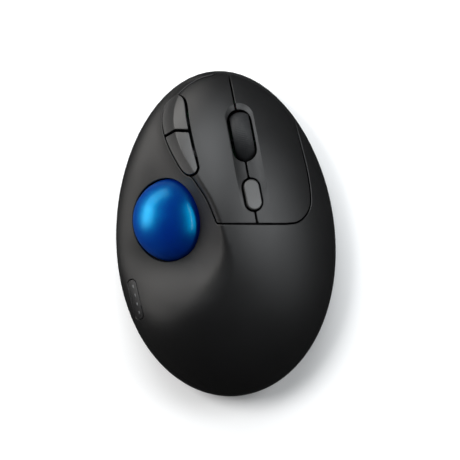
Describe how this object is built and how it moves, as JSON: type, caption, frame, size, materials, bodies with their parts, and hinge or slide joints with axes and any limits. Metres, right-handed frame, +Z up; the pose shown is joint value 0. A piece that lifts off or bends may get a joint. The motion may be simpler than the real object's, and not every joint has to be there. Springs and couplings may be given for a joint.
{
  "type": "trackball mouse",
  "caption": "Right-handed wireless thumb trackball: domed egg-shaped body, glossy ball in a side scoop, scroll wheel between the main buttons, thumb-side buttons and a speed button.",
  "frame": {"origin": "on the desk, under the middle of the body's box", "axes": "+Y towards the fingertips (front), +X to the right, +Z up from the desk"},
  "size_m": [0.0907, 0.1344, 0.0479],
  "materials": {
    "case": "black satin plastic with a fine grain",
    "speed_key": "dark grey satin plastic",
    "window": "dark translucent plastic",
    "feet": "black rubber",
    "ball": "glossy pearl blue",
    "inner_plastic": "black moulded plastic",
    "bead": "ivory white",
    "steel": "zinc-plated steel",
    "lens": "clear moulded lens",
    "chip": "black epoxy",
    "board": "green solder mask",
    "wheel_hub": "dark grey plastic",
    "tyre": "black ribbed rubber",
    "encoder": "blue plastic",
    "switch": "black plastic",
    "red_plunger": "red plastic",
    "grey_plunger": "light grey plastic",
    "ribbon": "flat white cable",
    "cell": "printed metal jacket",
    "contact": "nickel-plated steel",
    "slider": "red plastic",
    "pair_key": "grey plastic",
    "receiver": "black plastic",
    "lamp": "white package"
  },
  "bodies": {
    "casing": {"top_case": "case", "base_case": "case", "indicator_window": "window", "rubber_feet": "feet", "case_screws": "steel", "ball_cup": "inner_plastic", "support_beads": "bead", "cup_screws": "steel", "sensor_lens": "lens", "ball_sensor": "chip", "sensor_board": "board", "wheel_bracket": "inner_plastic", "main_board": "board", "board_chips": "chip", "board_screws": "steel", "left_switch": "switch", "right_switch": "switch", "wheel_switch": "switch", "side_board": "board", "side_switches": "switch", "side_bracket": "inner_plastic", "speed_board": "board", "speed_switch": "switch", "button_cradle": "inner_plastic", "cradle_screws": "steel", "sensor_ribbon": "ribbon", "battery_cell": "cell", "contact_spring": "contact", "positive_contact": "contact", "negative_contact": "contact", "power_switch": "contact", "pair_switch": "switch", "indicator_board": "board", "indicator_lamps": "lamp"},
    "ball": {"ball": "ball"},
    "left_button": {"left_button": "case"},
    "right_button": {"right_button": "case"},
    "forward_button": {"forward_button": "case"},
    "back_button": {"back_button": "case"},
    "speed_button": {"speed_button": "speed_key"},
    "wheel_carrier": {"wheel_carrier": "inner_plastic", "encoder_case": "encoder"},
    "wheel": {"wheel_hub": "wheel_hub", "wheel_tyre": "tyre", "wheel_axle": "steel", "encoder_rotor": "bead"},
    "power_slider": {"power_slider": "slider"},
    "pair_button": {"pair_button": "pair_key"},
    "battery_door": {"battery_door": "case"},
    "receiver": {"receiver_cap": "receiver", "receiver_plug": "contact"},
    "left_plunger": {"left_plunger": "red_plunger"},
    "right_plunger": {"right_plunger": "red_plunger"},
    "wheel_plunger": {"wheel_plunger": "red_plunger"},
    "forward_plunger": {"forward_plunger": "grey_plunger"},
    "back_plunger": {"back_plunger": "grey_plunger"},
    "speed_plunger": {"speed_plunger": "grey_plunger"},
    "pair_plunger": {"pair_plunger": "grey_plunger"}
  },
  "joints": [
    {"name": "ball_spin", "type": "hinge", "parent": "casing", "child": "ball", "pos_m": [-0.0208, 0.006, 0.0248], "axis": [1, 0, 0], "continuous": true},
    {"name": "left_button_press", "type": "hinge", "parent": "casing", "child": "left_button", "pos_m": [0.0038, 0, 0.0412], "axis": [-1, 0, 0], "range_deg": [0, 0.6], "stiffness_Nm_per_rad": 2, "springref_deg": -0.23},
    {"name": "right_button_press", "type": "hinge", "parent": "casing", "child": "right_button", "pos_m": [0.02, 0, 0.0332], "axis": [-1, 0, 0], "range_deg": [0, 0.6], "stiffness_Nm_per_rad": 2, "springref_deg": -0.23},
    {"name": "forward_button_press", "type": "slide", "parent": "casing", "child": "forward_button", "axis": [0.5493, -0.3995, -0.734], "range_m": [0, 0.0005], "stiffness_N_per_m": 500, "springref_m": -0.0003},
    {"name": "back_button_press", "type": "slide", "parent": "casing", "child": "back_button", "axis": [0.5493, -0.3995, -0.734], "range_m": [0, 0.0005], "stiffness_N_per_m": 500, "springref_m": -0.0003},
    {"name": "speed_button_press", "type": "slide", "parent": "casing", "child": "speed_button", "axis": [0, 0, -1], "range_m": [0, 0.0005], "stiffness_N_per_m": 500, "springref_m": -0.0003},
    {"name": "wheel_click", "type": "hinge", "parent": "casing", "child": "wheel_carrier", "pos_m": [0.00938, 0.02489, 0.02267], "axis": [-0.9833, -0.1822, 0], "range_deg": [0, 1.05], "stiffness_Nm_per_rad": 1.2, "springref_deg": -0.34},
    {"name": "wheel_spin", "type": "hinge", "parent": "wheel_carrier", "child": "wheel", "pos_m": [0.00683, 0.03866, 0.02767], "axis": [0.9833, 0.1822, 0], "continuous": true},
    {"name": "power_slide", "type": "slide", "parent": "casing", "child": "power_slider", "axis": [1, 0, 0], "range_m": [0, 0.003]},
    {"name": "pair_button_press", "type": "slide", "parent": "casing", "child": "pair_button", "axis": [0, 0, 1], "range_m": [0, 0.0004], "stiffness_N_per_m": 500, "springref_m": -0.0003},
    {"name": "battery_door_swing", "type": "hinge", "parent": "casing", "child": "battery_door", "pos_m": [0.01, -0.0006, 0.002], "axis": [1, 0, 0], "range_deg": [0, 75]},
    {"name": "receiver_pull", "type": "slide", "parent": "casing", "child": "receiver", "axis": [0, 0, -1], "range_m": [0, 0.015]},
    {"name": "left_plunger_slide", "type": "slide", "parent": "casing", "child": "left_plunger", "axis": [0, 0, -1], "range_m": [0, 0.0005]},
    {"name": "right_plunger_slide", "type": "slide", "parent": "casing", "child": "right_plunger", "axis": [0, 0, -1], "range_m": [0, 0.0005]},
    {"name": "wheel_plunger_slide", "type": "slide", "parent": "casing", "child": "wheel_plunger", "axis": [0, 0, -1], "range_m": [0, 0.0005]},
    {"name": "forward_plunger_slide", "type": "slide", "parent": "casing", "child": "forward_plunger", "axis": [0.5493, -0.3995, -0.734], "range_m": [0, 0.0005]},
    {"name": "back_plunger_slide", "type": "slide", "parent": "casing", "child": "back_plunger", "axis": [0.5493, -0.3995, -0.734], "range_m": [0, 0.0005]},
    {"name": "speed_plunger_slide", "type": "slide", "parent": "casing", "child": "speed_plunger", "axis": [0, 0, -1], "range_m": [0, 0.0005]},
    {"name": "pair_plunger_slide", "type": "slide", "parent": "casing", "child": "pair_plunger", "axis": [0, 0, 1], "range_m": [0, 0.0004]}
  ],
  "couplings": [
    {"joint": "left_plunger_slide", "follows": "left_button_press", "m_per_rad": 0.046},
    {"joint": "right_plunger_slide", "follows": "right_button_press", "m_per_rad": 0.0415},
    {"joint": "wheel_plunger_slide", "follows": "wheel_click", "m_per_rad": 0.0268},
    {"joint": "forward_plunger_slide", "follows": "forward_button_press", "ratio": 1},
    {"joint": "back_plunger_slide", "follows": "back_button_press", "ratio": 1},
    {"joint": "speed_plunger_slide", "follows": "speed_button_press", "ratio": 1},
    {"joint": "pair_plunger_slide", "follows": "pair_button_press", "ratio": 1}
  ]
}
